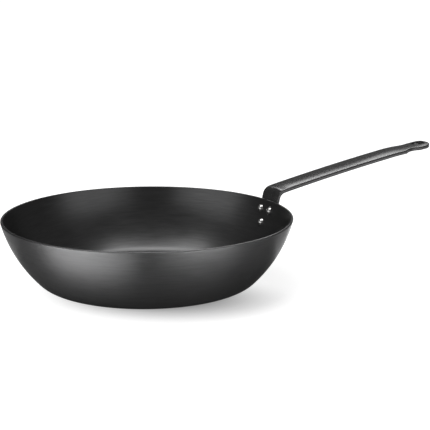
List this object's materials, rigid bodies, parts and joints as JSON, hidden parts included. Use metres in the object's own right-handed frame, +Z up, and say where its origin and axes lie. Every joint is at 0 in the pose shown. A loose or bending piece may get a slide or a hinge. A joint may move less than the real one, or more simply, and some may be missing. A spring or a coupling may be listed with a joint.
{
  "type": "frying pan",
  "caption": "Deep black-steel frying pan with a curved flaring wall and a riveted strip handle that bends over the rim, rises and ends in a hanging eye.",
  "frame": {"origin": "centre of the base's underside", "axes": "+X along the handle, away from the bowl; +Z up, along the bowl's axis"},
  "size_m": [0.4815, 0.2806, 0.1064],
  "materials": {
    "pan_steel": "blackened, fine brushing round the axis",
    "handle_strip": "black, semi-gloss",
    "rivet_steel": "bright domed heads"
  },
  "bodies": {
    "root": {"pan_body": "pan_steel", "handle": "handle_strip", "rivet_upper_left": "rivet_steel", "rivet_upper_right": "rivet_steel", "rivet_lower": "rivet_steel"}
  },
  "joints": []
}
